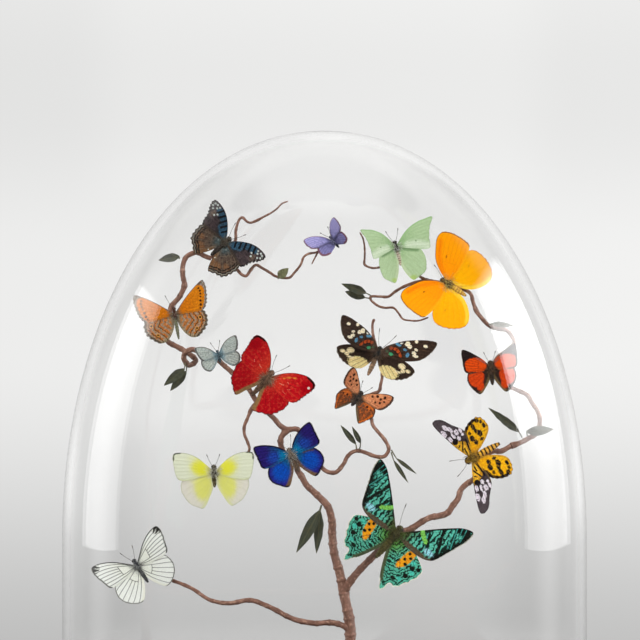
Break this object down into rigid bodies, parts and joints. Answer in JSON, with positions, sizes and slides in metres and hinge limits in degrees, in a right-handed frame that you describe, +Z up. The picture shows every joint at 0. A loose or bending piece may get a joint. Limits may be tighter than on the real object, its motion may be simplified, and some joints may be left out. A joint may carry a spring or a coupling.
{
  "type": "insect in glass dome",
  "caption": "Mounted butterflies and day-flying moths on a branching dry twig, under an oval clear glass dome on a black wooden plinth.",
  "frame": {"origin": "middle of the plinth's flat underside", "axes": "+Z up, the insects face -Y, the dome is widest along X"},
  "size_m": [0.362, 0.246, 0.422],
  "materials": {
    "ebonised_wood": "satin black stain",
    "clear_glass": "polished clear",
    "bark": "matt reddish-brown bark",
    "dry_leaf": "matt dried leaf, olive green",
    "butterfly_dark_blue": "satin dark scales with teal bars",
    "butterfly_violet": "satin violet-blue scales",
    "butterfly_green": "matt pale green scales",
    "butterfly_orange": "matt orange scales",
    "butterfly_fritillary": "matt orange scales with brown mottling",
    "butterfly_red": "velvety red scales",
    "butterfly_grey_blue": "satin pale grey-blue scales",
    "moth_spotted": "dark scales with cream spots and teal and orange bands",
    "butterfly_copper": "matt copper scales with dark spots",
    "butterfly_ember": "matt red-orange scales with dark margins",
    "moth_yellow": "yellow scales with black streaks and pale spots",
    "moth_sunset": "metallic green and turquoise bands on black",
    "butterfly_blue": "iridescent blue scales",
    "butterfly_yellow": "matt translucent pale yellow scales",
    "butterfly_white": "matt white scales with black veins"
  },
  "bodies": {
    "root": {"plinth": "ebonised_wood", "glass_dome": "clear_glass", "twig_trunk": "bark", "twig_left": "bark", "twig_curl": "bark", "twig_loop": "bark", "twig_tall": "bark", "twig_violet": "bark", "twig_yellow": "bark", "twig_centre": "bark", "twig_right": "bark", "twig_right_upper": "bark", "twig_orange": "bark", "twig_green": "bark", "twig_low": "bark", "leaf_upper_left": "dry_leaf", "leaf_curl_a": "dry_leaf", "leaf_curl_b": "dry_leaf", "leaf_round": "dry_leaf", "leaf_green_a": "dry_leaf", "leaf_green_b": "dry_leaf", "leaf_veiled": "dry_leaf", "leaf_long_right": "dry_leaf", "leaf_edge_right": "dry_leaf", "leaf_middle_a": "dry_leaf", "leaf_middle_b": "dry_leaf", "leaf_below_a": "dry_leaf", "leaf_below_b": "dry_leaf", "leaf_trunk_a": "dry_leaf", "leaf_trunk_b": "dry_leaf", "butterfly_dark_blue": "butterfly_dark_blue", "butterfly_violet": "butterfly_violet", "butterfly_green": "butterfly_green", "butterfly_orange": "butterfly_orange", "butterfly_fritillary": "butterfly_fritillary", "butterfly_red": "butterfly_red", "butterfly_grey_blue": "butterfly_grey_blue", "moth_spotted": "moth_spotted", "butterfly_copper": "butterfly_copper", "butterfly_ember": "butterfly_ember", "moth_yellow": "moth_yellow", "moth_sunset": "moth_sunset", "butterfly_blue": "butterfly_blue", "butterfly_yellow": "butterfly_yellow", "butterfly_white": "butterfly_white"}
  },
  "joints": []
}
